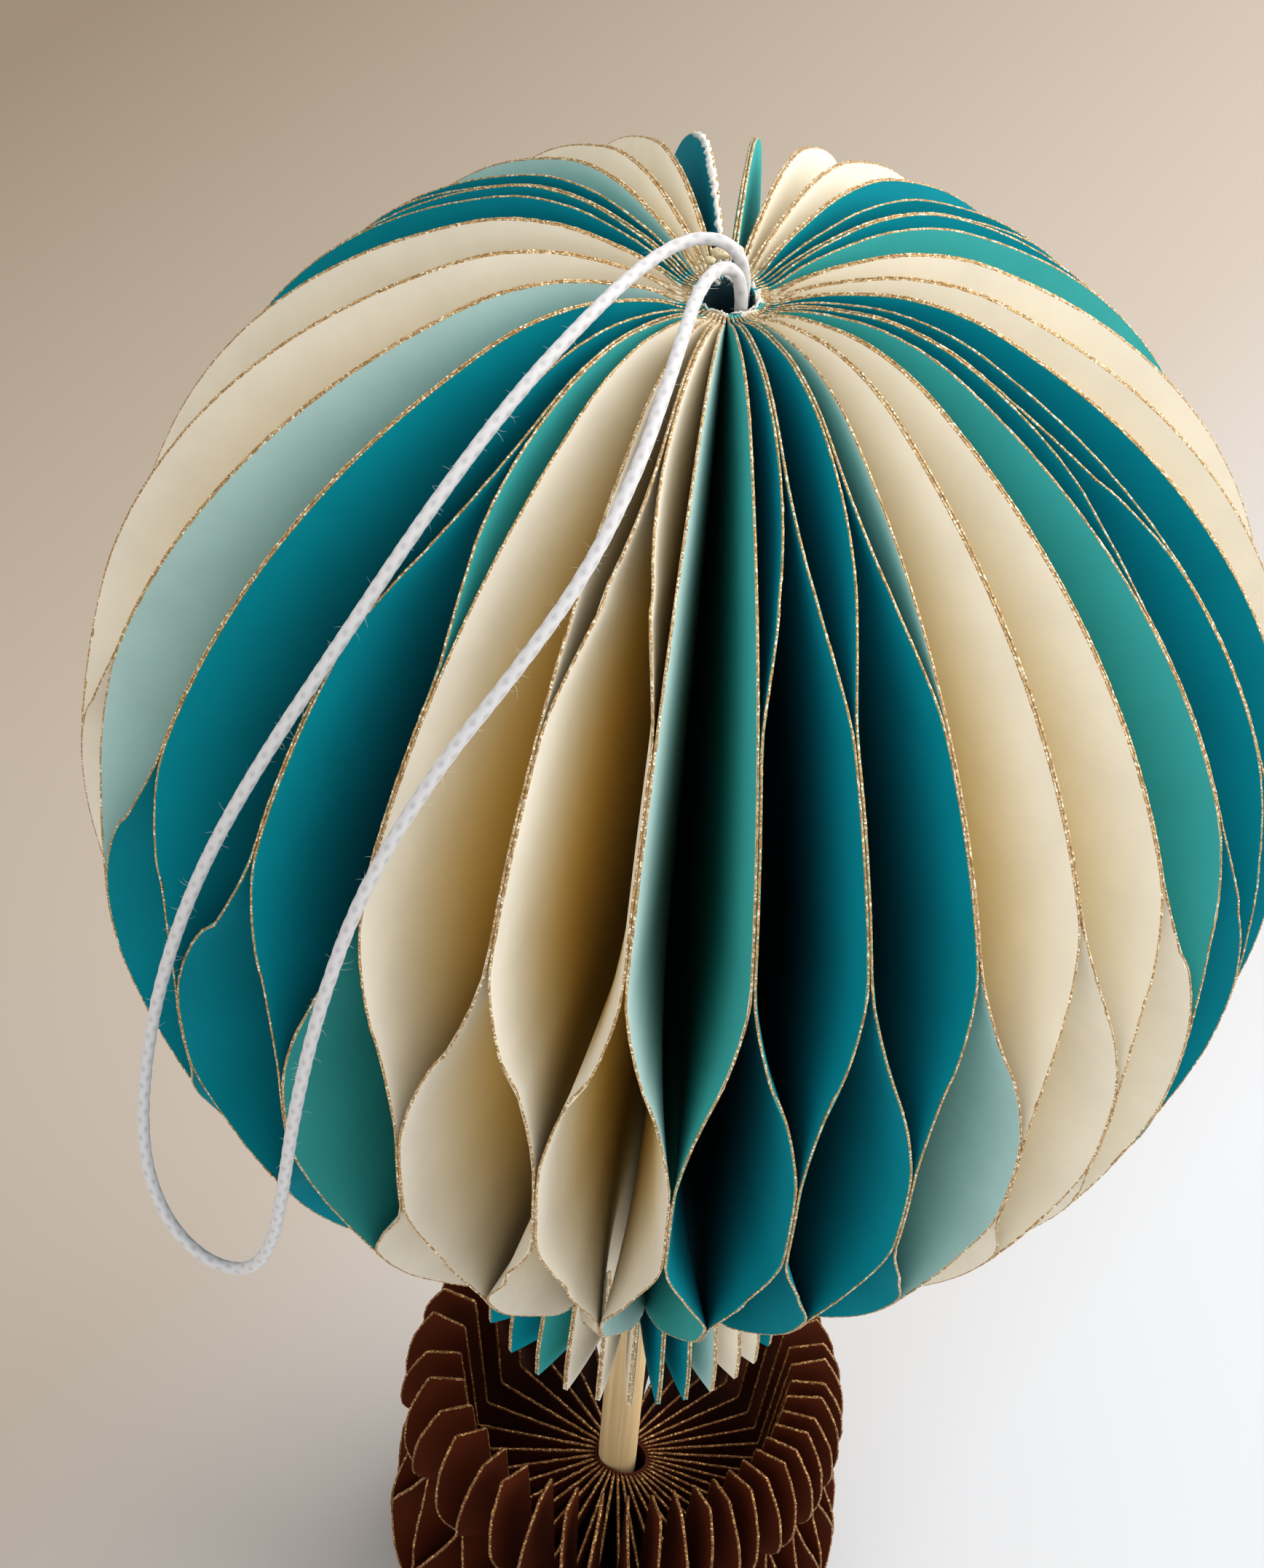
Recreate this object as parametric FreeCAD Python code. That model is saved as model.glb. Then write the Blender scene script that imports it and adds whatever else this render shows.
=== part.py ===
import FreeCAD, Part
import math
import os

# Hanging paper balloon: folded cards stand round a wooden stick, two to each radial wall.
# Sizes are millimetres and degrees. The stick is the Z axis and the basket stands on z = 0.

# Balloon envelope
ball_radius = 60.0
envelope_cards = 60
first_cream_card = 1
envelope_card_thickness = 0.12
mouth_drop = 86.0
crown_rise = 52.0
crown_corner_radius = 4.4
lobe_rise = 57.0
lobe_radius = 16.0
neck_radius = 16.8
neck_drop = 66.0
skirt_radius = 18.2
mouth_slope_rise = 1.5

# Basket
basket_cards = 40
basket_card_thickness = 0.2
basket_height = 44.0
basket_floor_height = 24.0
basket_foot_radius = 23.5
basket_lower_radius = 28.2
basket_notch_radius = 24.6
basket_notch_height = 28.0
basket_upper_radius = 27.2
basket_rim_radius = 24.2
recess_floor_radius = 18.0
recess_rim_radius = 20.2
rim_slope_drop = 0.8
basket_crowding = 0.3
basket_crowded_side = -40.0

# Stick and the room between balloon and basket
stick_radius = 2.4
stick_top_cover = 25.0
stick_end_chamfer = 0.3
mouth_gap = 34.0

# Gaps
stick_clearance = 0.2
card_gap = 0.015
fold_gap = 0.03
glued_gap = 0.04

# Hanging cord
cord_diameter = 1.3
knot_radius = 2.2
knot_length = 6.0
knot_top_radius = 1.9
knot_stick_gap = 0.3
end_spread = 0.8

ball_centre = basket_floor_height + mouth_gap + mouth_drop
crown_height = ball_centre + crown_rise
mouth_height = ball_centre - mouth_drop
stick_length = crown_height - stick_top_cover
knot_top = stick_length + knot_stick_gap + knot_length

# The loop's path above the knot: up out of the crown, down the left front, round, and back
cord_route = [
    (0.9, 0.85, 184.0),
    (1.2, 0.95, 190.5),
    (1.5, 1.05, 196.6),
    (1.3, 1.1, 201.0),
    (-0.4, 1.1, 204.0),
    (-3.6, 0.6, 204.2),
    (-7.2, -3.4, 203.6),
    (-11.4, -11.8, 203.0),
    (-17.2, -21.2, 199.3),
    (-23.6, -29.8, 192.4),
    (-30.0, -36.4, 182.9),
    (-36.4, -40.4, 172.0),
    (-41.6, -42.2, 160.2),
    (-45.3, -42.8, 147.2),
    (-47.4, -43.2, 134.0),
    (-47.6, -44.4, 123.6),
    (-45.4, -45.8, 116.4),
    (-41.4, -47.2, 112.6),
    (-37.0, -48.6, 113.4),
    (-34.4, -50.2, 119.6),
    (-33.0, -51.8, 129.6),
    (-31.6, -53.3, 142.4),
    (-29.4, -52.9, 155.6),
    (-26.0, -50.4, 168.0),
    (-20.6, -46.6, 178.6),
    (-14.6, -42.2, 186.4),
    (-9.4, -36.4, 193.0),
    (-6.0, -28.8, 198.5),
    (-4.2, -20.4, 202.2),
    (-3.2, -12.4, 203.2),
    (-2.6, -6.4, 202.3),
    (-1.3, -2.4, 202.9),
    (0.5, -1.0, 202.3),
    (1.3, -0.95, 199.0),
    (1.4, -0.95, 195.0),
    (1.1, -0.9, 190.0),
    (0.9, -0.85, 184.0),
]

# The balloon's walls stand in pairs: degrees from each pair to the next, and the first pair's angle
envelope_spacing = [
    11.0, 14.0, 14.0, 14.0, 11.1, 11.1, 11.1, 11.1, 11.1, 11.1,
    11.1, 11.1, 11.1, 11.1, 11.0, 17.0, 17.5, 14.5, 16.5, 11.5,
    13.0, 12.0, 11.0, 10.2, 10.2, 11.1, 10.5, 10.0, 10.0, 10.0,
]
envelope_first_pair = -10.0

# Walls that are glued to the next wall at the crown. All others stay with their own pair there
crown_glued_walls = [7, 27, 39, 43, 47, 49, 57]

# How far each joint station closes a pair of walls: +1 closes pairs 0-1, 2-3, and so on,
# -1 closes pairs 1-2, 3-4, and 0 leaves every wall in its radial plane.
# One envelope row: degrees of latitude, and the joint.
ball_rows = [
    (-57.0, -1.0),
    (-49.0, -0.2),
    (-41.0, 0.8),
    (-34.0, 1.0),
    (-27.0, 1.0),
    (-20.0, 0.1),
    (-13.0, -0.9),
    (-7.0, -1.0),
    (-1.0, -1.0),
    (6.0, -0.5),
    (13.0, 0.4),
    (20.0, 1.0),
    (27.0, 1.0),
    (34.0, 1.0),
    (41.0, 1.0),
    (48.0, 0.4),
    (55.0, -0.4),
    (62.0, -0.9),
    (68.5, -1.0),
]

# Where a wall starts to lean, as a share of the way from the fold to the outer edge
bend_start = 0.42


def wall_angles(cards, spacing, first_pair):
    """Angle of every wall in radians, for walls in pairs that stand apart as in the list."""
    stations = [0.0]
    for step in spacing:
        stations.append(stations[-1] + step)
    middles = []
    for pair in range(cards // 2 + 1):
        place = pair * len(spacing) / (cards // 2)
        index = min(int(place), len(spacing) - 1)
        turn = stations[index] + (place - index) * spacing[index]
        middles.append(first_pair + 360.0 * turn / stations[-1])
    angles = []
    for pair in range(cards // 2):
        before = middles[pair] - middles[pair - 1] if pair else middles[-1] - middles[-2]
        after = middles[pair + 1] - middles[pair]
        angles.append(math.radians(middles[pair] - before / 4))
        angles.append(math.radians(middles[pair] + after / 4))
    return angles


def flat_face(points):
    """Flat face inside a closed line of points."""
    return Part.Face(Part.makePolygon(points + [points[0]]))


def strip(line_a, line_b):
    """Narrow triangles that join two lines with the same number of points."""
    faces = []
    for i in range(len(line_a) - 1):
        faces.append(flat_face([line_a[i], line_b[i], line_a[i + 1]]))
        faces.append(flat_face([line_b[i], line_b[i + 1], line_a[i + 1]]))
    return faces


def solid_from(faces):
    """Sew faces whose edges match into one closed solid."""
    shell = Part.Shell(faces)
    shell.sewShape()
    if shell.ShapeType != "Shell":
        shell = shell.Shells[0]
    solid = Part.makeSolid(shell)
    if solid.Volume < 0:
        solid.reverse()
    return solid


class CardStack:
    """A ring of folded cards. Wall w has card w - 1 on one side of it and card w on the other."""

    def __init__(self, angles, thickness):
        self.angles = angles
        self.cards = len(angles)
        self.thickness = thickness

    def angle(self, wall):
        """Angle of a wall in radians."""
        return self.angles[wall % self.cards] + 2 * math.pi * (wall // self.cards)

    def fold_radius(self, card):
        """Radius of the inside of a card's fold: round the stick, with room for both leaves."""
        by_stick = stick_radius + stick_clearance + self.thickness
        pitch = self.angle(card + 1) - self.angle(card)
        return max(by_stick, (2 * self.thickness + card_gap + fold_gap) / pitch)

    def pole(self, wall, radius, height, joint, growth, side, depth):
        """Point on a wall: side is +1 or -1, depth 0 on the glued face and 1 inside the card."""
        offset = card_gap / 2 + depth * self.thickness
        lean = joint * growth if wall % 2 == 0 else -joint * growth
        neighbour = wall + 1 if lean > 0 else wall - 1
        half_sector = abs(self.angle(neighbour) - self.angle(wall)) / 2
        reach = (radius * math.sin(half_sector) - glued_gap / 2) / math.cos(half_sector)
        travel = max(0.0, reach - card_gap / 2 - self.thickness)
        sideways = side * offset + lean * travel
        angle = self.angle(wall)
        x = radius * math.cos(angle) - sideways * math.sin(angle)
        y = radius * math.sin(angle) + sideways * math.cos(angle)
        return FreeCAD.Vector(x, y, height)

    def line(self, wall, profile, side, depth, growth):
        """Points on a wall for a profile of (radius, height, joint)."""
        return [self.pole(wall, r, z, joint, growth, side, depth) for r, z, joint in profile]

    def fold_points(self, wall, radius, low, high, side, depth):
        """The two ends of a leaf's fold, on its glued face or inside the card."""
        start = radius if depth else radius - self.thickness
        return self.line(wall, [(start, low, 0.0), (start, high, 0.0)], side, depth, 0)


def fold_faces(first_out, first_in, second_out, second_in):
    """The faces round a card's fold, from the fold points of its two leaves."""
    faces = [
        flat_face([first_out[0], first_out[1], second_out[1], second_out[0]]),
        flat_face([first_in[0], first_in[1], second_in[1], second_in[0]]),
    ]
    for end in (0, 1):
        faces.append(flat_face([first_out[end], first_in[end], second_in[end], second_out[end]]))
    return faces


def envelope_outline(wall):
    """Outer edge of a balloon leaf from mouth to crown, with the joint of each row."""
    rows = [
        (skirt_radius, mouth_height, -1.0),
        (skirt_radius, mouth_height + 0.25 * (mouth_drop - neck_drop), -1.0),
        (0.5 * (skirt_radius + neck_radius), mouth_height + 0.55 * (mouth_drop - neck_drop), -1.0),
        (neck_radius, ball_centre - neck_drop, -1.0),
        (1.15 * neck_radius, ball_centre - 0.5 * (neck_drop + 0.94 * ball_radius), -1.0),
        (0.42 * ball_radius, ball_centre - 0.94 * ball_radius, -1.0),
    ]
    crown_rows = [
        (lobe_radius, ball_centre + lobe_rise, -1.0),
        (0.68 * lobe_radius, ball_centre + lobe_rise - 0.22 * (lobe_rise - crown_rise), -0.9),
        (0.45 * lobe_radius, ball_centre + lobe_rise - 0.56 * (lobe_rise - crown_rise), -0.7),
        (crown_corner_radius, crown_height, 0.0),
    ]
    for latitude, joint in ball_rows:
        angle = math.radians(latitude)
        radius = ball_radius * math.cos(angle)
        height = ball_centre + ball_radius * math.sin(angle)
        if latitude < 20:
            rows.append((radius, height, joint))
        else:
            crown_rows.insert(-4, (radius, height, joint))
    if not (wall in crown_glued_walls or wall - 1 in crown_glued_walls):
        crown_rows = [(radius, height, 1.0) for radius, height, _ in crown_rows[:-1]] + crown_rows[-1:]
    return rows + crown_rows


def envelope_fold_heights(outline):
    """Heights along the fold that pair up with the outline's rows."""
    low = mouth_height + mouth_slope_rise
    lengths = [0.0]
    for before, after in zip(outline, outline[1:]):
        step = math.hypot(after[0] - before[0], after[1] - before[1])
        lengths.append(lengths[-1] + step)
    return [low + (crown_height - low) * length / lengths[-1] for length in lengths]


def envelope_card(stack, card):
    """One folded card of the balloon. Each leaf is a flat panel next to the fold and an outer
    panel that leans towards the neighbour it is glued to."""
    fold_radius = stack.fold_radius(card)
    spine = stick_radius + stick_clearance + stack.thickness
    faces = []
    folds = []
    for wall, side in ((card, 1), (card + 1, -1)):
        outline = envelope_outline(wall % stack.cards)
        heights = envelope_fold_heights(outline)
        bend_line = []
        for (radius, height, _), fold_height in zip(outline, heights):
            bend_radius = spine + (radius - spine) * bend_start
            bend_line.append((bend_radius, fold_height + (height - fold_height) * bend_start, 0.0))
        sides = []
        for depth in (0, 1):
            fold = stack.fold_points(wall, fold_radius, heights[0], heights[-1], side, depth)
            bend = stack.line(wall, bend_line, side, depth, 0)
            edge = stack.line(wall, outline, side, depth, 1)
            faces.append(flat_face([fold[0]] + bend + [fold[1]]))
            faces += strip(bend, edge)
            sides.append((fold, bend, edge))
        (fold_out, bend_out, edge_out), (fold_in, bend_in, edge_in) = sides
        faces += strip(edge_out, edge_in)
        for end in (0, -1):
            across_out = [fold_out[end], bend_out[end], edge_out[end]]
            across_in = [fold_in[end], bend_in[end], edge_in[end]]
            faces += strip(across_out, across_in)
        folds += [fold_out, fold_in]
    return solid_from(faces + fold_faces(*folds))


def basket_joint(height):
    """How far the basket's walls are drawn together at this height."""
    stations = [
        (0.0, 0.0),
        (0.22 * basket_notch_height, 1.0),
        (0.4 * basket_notch_height, 0.0),
        (0.6 * basket_notch_height, -1.0),
        (0.8 * basket_notch_height, 0.0),
        (basket_notch_height, 1.0),
        (basket_notch_height + 0.25 * (basket_height - basket_notch_height), 0.3),
        (basket_height, -0.2),
    ]
    for (z0, j0), (z1, j1) in zip(stations, stations[1:]):
        if height <= z1:
            return j0 + (j1 - j0) * max(0.0, height - z0) / (z1 - z0)
    return stations[-1][1]


def basket_outline():
    """The basket leaf's lines: below the notch, above it, the recess corner and the recess wall."""
    lower_bulge = [0.0, 0.55, 0.92, 1.0, 0.9, 0.42, 0.0]
    upper_bulge = [0.0, 0.75, 1.0, 0.95, 0.8, 0.45, 0.0]
    steps = [i / (len(lower_bulge) - 1) for i in range(len(lower_bulge))]

    def bulged(low, high, r_low, r_high, r_bulge, bulge):
        line = []
        for step, share in zip(steps, bulge):
            base = r_low + (r_high - r_low) * step
            height = low + (high - low) * step
            line.append((base + (r_bulge - base) * share, height, basket_joint(height)))
        return line

    lower = bulged(
        0.0, basket_notch_height, basket_foot_radius, basket_notch_radius,
        basket_lower_radius, lower_bulge,
    )
    upper = bulged(
        basket_notch_height, basket_height, basket_notch_radius, basket_rim_radius,
        basket_upper_radius, upper_bulge,
    )
    corner = [(recess_floor_radius, basket_floor_height * step, 0.0) for step in steps]
    rim_inner_height = basket_height - rim_slope_drop
    recess = []
    for step in steps:
        radius = recess_floor_radius + (recess_rim_radius - recess_floor_radius) * step
        height = basket_floor_height + (rim_inner_height - basket_floor_height) * step
        recess.append((radius, height, 0.0))
    return lower, upper, corner, recess


def basket_card(stack, card):
    """One folded card of the basket: a lower panel and a raised rim round the recess."""
    lines = basket_outline()
    fold_radius = stack.fold_radius(card)
    faces = []
    folds = []
    for wall, side in ((card, 1), (card + 1, -1)):
        sides = []
        for depth in (0, 1):
            fold = stack.fold_points(wall, fold_radius, 0.0, basket_floor_height, side, depth)
            lower, upper = [stack.line(wall, line, side, depth, 1) for line in lines[:2]]
            corner, recess = [stack.line(wall, line, side, depth, 0) for line in lines[2:]]
            faces.append(flat_face([fold[0]] + corner + [fold[1]]))
            faces += strip(corner, lower)
            faces += strip(recess, upper)
            bottom = [fold[0], corner[0], lower[0]]
            floor = [fold[1], corner[-1]]
            rim_top = [recess[-1], upper[-1]]
            sides.append((lower, upper, recess, bottom, floor, rim_top))
            folds.append(fold)
        for line_out, line_in in zip(*sides):
            faces += strip(line_out, line_in)
    return solid_from(faces + fold_faces(*folds))


def stick():
    """The round wooden stick that carries the basket and the envelope."""
    body = Part.makeCylinder(stick_radius, stick_length)
    top_edges = [edge for edge in body.Edges if edge.BoundBox.ZMin > stick_length - 0.001]
    return body.makeChamfer(stick_end_chamfer, top_edges)


def cord_knot():
    """The knot in the hollow above the stick: a rounded plug with a flat top."""
    low = knot_top - knot_length
    poles = [
        (0.0, low),
        (0.75 * knot_radius, low),
        (knot_radius, low + 0.3 * knot_length),
        (knot_radius, low + 0.75 * knot_length),
        (knot_top_radius, knot_top),
        (0.0, knot_top),
    ]
    points = [FreeCAD.Vector(r, 0, z) for r, z in poles]
    outline = Part.makePolygon(points + [points[0]])
    return Part.Face(outline).revolve(FreeCAD.Vector(0, 0, 0), FreeCAD.Vector(0, 0, 1), 360)


def rounded_path(points):
    """Straight runs and the arcs that touch them, as (run, None) or (None, arc) steps, and the radii."""
    spots = [FreeCAD.Vector(*p) for p in points]
    steps = []
    radii = []
    last = spots[0]
    for before, here, after in zip(spots, spots[1:], spots[2:]):
        run_in = here - before
        run_out = after - here
        turn = run_in.getAngle(run_out)
        cut = 0.45 * min(run_in.Length, run_out.Length)
        radius = cut / math.tan(turn / 2)
        into = here - FreeCAD.Vector(run_in).normalize() * cut
        axis = run_in.cross(run_out).normalize()
        centre = into + axis.cross(run_in).normalize() * radius
        steps.append((into - last, None))
        steps.append((None, (centre, axis, turn)))
        radii.append(radius)
        last = here + FreeCAD.Vector(run_out).normalize() * cut
    steps.append((spots[-1] - last, None))
    return steps, radii


def round_tube(points, diameter):
    """A round tube along a rounded path, with its length and radii."""
    steps, radii = rounded_path(points)
    start = FreeCAD.Vector(*points[0])
    ring = Part.Wire([Part.Circle(start, steps[0][0], diameter / 2).toShape()])
    faces = [Part.Face(ring)]
    length = 0.0
    for run, arc in steps:
        if run:
            faces += ring.extrude(run).Faces
            ring = ring.translated(run)
            length += run.Length
        else:
            centre, axis, turn = arc
            faces += ring.revolve(centre, axis, math.degrees(turn)).Faces
            ring = ring.rotated(centre, axis, math.degrees(turn))
    length += sum(radius * arc[2] for radius, (_, arc) in zip(radii, steps[1::2]))
    faces.append(Part.Face(ring))
    return solid_from(faces), length, radii


def hanging_cord():
    """The loop of cord, from the knot out of the crown and back."""
    ends = [(end_spread, end_spread, knot_top), (end_spread, -end_spread, knot_top)]
    points = [ends[0]] + cord_route + [ends[1]]
    tube, length, radii = round_tube(points, cord_diameter)
    expected = math.pi * (cord_diameter / 2) ** 2 * length
    print("cord radii", [round(r, 1) for r in radii])
    print("cord length", round(length, 1), "volume ratio", round(tube.Volume / expected, 4), tube.isValid())
    return tube


def save(shape, name):
    """Write one node."""
    shape.exportStep(os.path.join("parts", name + ".step"))


def main():
    os.makedirs("parts", exist_ok=True)
    angles = wall_angles(envelope_cards, envelope_spacing, envelope_first_pair)
    stack = CardStack(angles, envelope_card_thickness)
    order = range(first_cream_card, envelope_cards + first_cream_card)
    envelope = [envelope_card(stack, card % envelope_cards) for card in order]
    # Ten cards repeat: four cream, one two-coloured, four teal, one two-coloured
    groups = [("cream", 2), ("cream", 2), ("sage", 1), ("teal", 2), ("teal", 2), ("sage", 1)]
    counts = {"cream": 0, "teal": 0, "sage": 0}
    while envelope:
        for colour, size in groups:
            counts[colour] += 1
            save(Part.makeCompound(envelope[:size]), "envelope_%s_%02d" % (colour, counts[colour]))
            envelope = envelope[size:]
    pairs = basket_cards // 2
    spacing = []
    for pair in range(pairs):
        away = math.radians(360.0 * (pair + 0.5) / pairs - basket_crowded_side)
        spacing.append(1 - basket_crowding * math.cos(away))
    stack = CardStack(wall_angles(basket_cards, spacing, 0.0), basket_card_thickness)
    basket = [basket_card(stack, card) for card in range(basket_cards)]
    for index in range(basket_cards // 2):
        save(Part.makeCompound(basket[2 * index:2 * index + 2]), "basket_%02d" % (index + 1))
    save(stick(), "stick")
    save(cord_knot(), "cord_knot")
    save(hanging_cord(), "hanging_cord")


main()
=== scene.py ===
"""A folded-paper hot-air balloon on its basket, with a wooden stick and a hanging cord."""

import math
import random

import bpy
import numpy as np
from bpy.props import FloatProperty, FloatVectorProperty, IntProperty, PointerProperty, StringProperty
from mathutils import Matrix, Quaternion, Vector, noise


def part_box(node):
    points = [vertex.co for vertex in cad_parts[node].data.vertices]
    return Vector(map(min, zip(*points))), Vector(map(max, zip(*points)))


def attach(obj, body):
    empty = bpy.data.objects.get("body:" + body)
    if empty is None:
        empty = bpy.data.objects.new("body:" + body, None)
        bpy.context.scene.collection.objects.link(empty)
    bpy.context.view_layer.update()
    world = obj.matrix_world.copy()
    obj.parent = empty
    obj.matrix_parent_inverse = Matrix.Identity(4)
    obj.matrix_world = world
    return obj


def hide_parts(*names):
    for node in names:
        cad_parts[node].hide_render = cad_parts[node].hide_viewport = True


bl_info = {
    "name": "Folded Paper Balloon",
    "version": (1, 0, 0),
    "blender": (4, 5, 0),
    "location": "3D View > Sidebar > Balloon",
    "description": "Builds a hot-air balloon of folded cards with a basket, a stick and a cord",
    "category": "Object",
}

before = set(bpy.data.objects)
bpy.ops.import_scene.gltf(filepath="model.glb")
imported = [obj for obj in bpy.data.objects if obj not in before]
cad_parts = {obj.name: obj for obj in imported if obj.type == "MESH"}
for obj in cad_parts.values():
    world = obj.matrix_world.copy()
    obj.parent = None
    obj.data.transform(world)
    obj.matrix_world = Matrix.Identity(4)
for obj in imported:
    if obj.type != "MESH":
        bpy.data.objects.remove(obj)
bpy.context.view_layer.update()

MM = 0.001
MOUTH_HEIGHT = float(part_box("envelope_cream_01")[0][2])
BASKET_TOP = float(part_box("basket_01")[1][2])
KNOT_TOP = float(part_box("cord_knot")[1][2])

# Latitude on the ball in degrees, and how far the walls are drawn together there: +1 closes
# walls 0-1, 2-3 and so on, -1 closes walls 1-2, 3-4 and so on
BALL_ROWS = (
    (-57.0, -1.0), (-49.0, -0.2), (-41.0, 0.8), (-34.0, 1.0), (-27.0, 1.0), (-20.0, 0.1),
    (-13.0, -0.9), (-7.0, -1.0), (-1.0, -1.0), (6.0, -0.5), (13.0, 0.4), (20.0, 1.0), (27.0, 1.0),
    (34.0, 1.0), (41.0, 1.0), (48.0, 0.4), (55.0, -0.4), (62.0, -0.9), (68.5, -1.0),
)

# Walls that are glued to the next wall at the crown. All others stay with their own pair from
# this latitude up
CROWN_GLUED_WALLS = (7, 27, 39, 43, 47, 49, 57)
CROWN_LATITUDE = 20.0

# Degrees from each pair of walls to the next round the ball, and the first pair's angle
ENVELOPE_SPACING = (
    11.0, 14.0, 14.0, 14.0, 11.1, 11.1, 11.1, 11.1, 11.1, 11.1,
    11.1, 11.1, 11.1, 11.1, 11.0, 17.0, 17.5, 14.5, 16.5, 11.5,
    13.0, 12.0, 11.0, 10.2, 10.2, 11.1, 10.5, 10.0, 10.0, 10.0,
)
ENVELOPE_FIRST_PAIR = -10.0

# Points along the edge of a leaf, and along its glitter
LEAF_POINTS = 76
GLITTER_POINTS = 150

# Wall whose glitter edge was torn off near the crown, over this many of the glitter's points
TORN_WALL = 19
TORN_POINTS = 30

# How far a glued spot wanders along its edge, and how much a free stretch of edge sways
JOINT_WANDER = 0.007
EDGE_SWAY = 0.12

# How a leaf curves towards its edge: 1 is a straight slant, and more keeps it flat for longer
BALL_LEAF_CURVE = 2.1
BASKET_LEAF_CURVE = 1.4

# Distances between the rings of vertices along the glitter and the cord
GLITTER_STEP = 0.5 * MM
CORD_STEP = 0.2 * MM

# The cord's braid: how far a strand runs in one turn, and how many strands wind each way
BRAID_PITCH = 2.2 * MM
STRANDS_EACH_WAY = 3

# Colours run round the ball in tens: four cream cards, one two-coloured, four teal, one two-coloured
CARD_GROUPS = (("cream", 2), ("cream", 2), ("sage", 1), ("teal", 2), ("teal", 2), ("sage", 1))
FIRST_CREAM_CARD = 1

# The cord's route in millimetres, from the knot out of the crown, round the loop and back
CORD_ROUTE = (
    (0.9, 0.85, 184.0), (1.2, 0.95, 190.5), (1.5, 1.05, 196.6), (1.3, 1.1, 200.2),
    (-0.4, 1.1, 202.4), (-3.6, 0.6, 202.8), (-7.2, -3.4, 202.5), (-11.4, -11.8, 202.3),
    (-17.2, -21.2, 199.3), (-23.6, -29.8, 192.4), (-30.0, -36.4, 182.9), (-36.4, -40.4, 172.0),
    (-41.6, -42.2, 160.2), (-45.3, -42.8, 147.2), (-47.4, -43.2, 134.0), (-47.6, -44.4, 123.6),
    (-45.4, -45.8, 116.4), (-41.4, -47.2, 112.6), (-37.0, -48.6, 113.4), (-34.4, -50.2, 119.6),
    (-33.0, -51.8, 129.6), (-31.6, -53.3, 142.4), (-29.4, -52.9, 155.6), (-26.0, -50.4, 168.0),
    (-20.6, -46.6, 178.6), (-14.6, -42.2, 186.4), (-9.4, -36.4, 193.0), (-6.0, -28.8, 198.5),
    (-4.2, -20.4, 201.8), (-3.2, -12.4, 202.3), (-2.6, -6.4, 201.5), (-1.3, -2.4, 201.7),
    (0.5, -1.0, 201.0), (1.3, -0.95, 198.6), (1.4, -0.95, 195.0), (1.1, -0.9, 190.0),
    (0.9, -0.85, 184.0),
)


# Settings


def length(name, description, default):
    """A size in metres that a user may change."""
    return FloatProperty(name=name, description=description, default=default, min=0.0, unit="LENGTH")


def colour(name, description, default):
    """An sRGB colour as a hex string."""
    return StringProperty(name=name, description=description, default=default)


class BalloonEnvelopeSettings(bpy.types.PropertyGroup):
    """Sizes and colours of the paper ball."""

    ball_radius: length("Ball radius", "Radius of the ball of leaves", 60 * MM)
    mouth_drop: length("Mouth drop", "From the ball's centre down to the mouth", 86 * MM)
    crown_rise: length("Crown rise", "From the ball's centre up to the crown hole", 53.4 * MM)
    crown_corner: length("Crown corner", "Radius of the leaves' top corners", 4.4 * MM)
    lobe_rise: length("Lobe rise", "From the ball's centre up to the leaves' highest part", 56.6 * MM)
    lobe_radius: length("Lobe radius", "Radius where the leaves are highest", 16 * MM)
    neck_radius: length("Neck radius", "Radius of the neck above the skirt", 16.8 * MM)
    neck_drop: length("Neck drop", "From the ball's centre down to the neck", 66 * MM)
    skirt_radius: length("Skirt radius", "Radius of the skirt at the mouth", 18.2 * MM)
    card_thickness: length("Card thickness", "Thickness of the card", 0.12 * MM)
    glitter_radius: length("Glitter size", "Half the width of the glitter on the edges", 0.12 * MM)
    cards: IntProperty(name="Cards", description="Folded cards round the ball", default=60, min=10)
    # Each colour at the fold is painted shade: a leaf turns to it deep in the folds, where shade falls
    cream: colour("Cream", "Cream card", "#F0EADB")
    cream_painted_fold_shade: colour("Cream at the fold", "Cream card deep in the folds", "#F0D27C")
    sage: colour("Sage", "Pale sage leaf of the two-coloured cards", "#BDDAD6")
    sage_painted_fold_shade: colour("Sage at the fold", "Sage leaf deep in the folds", "#7FA08C")
    green_teal: colour("Green teal", "Green-teal leaf of the two-coloured cards", "#3FABA9")
    green_teal_painted_fold_shade: colour("Green teal at the fold", "Green-teal leaf deep in the folds", "#006B62")
    teal: colour("Teal", "Deep teal card", "#0091A0")
    teal_painted_fold_shade: colour("Teal at the fold", "Deep teal card deep in the folds", "#003039")
    glitter: colour("Glitter", "Gold glitter on the leaves' edges", "#DDBB85")


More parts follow.
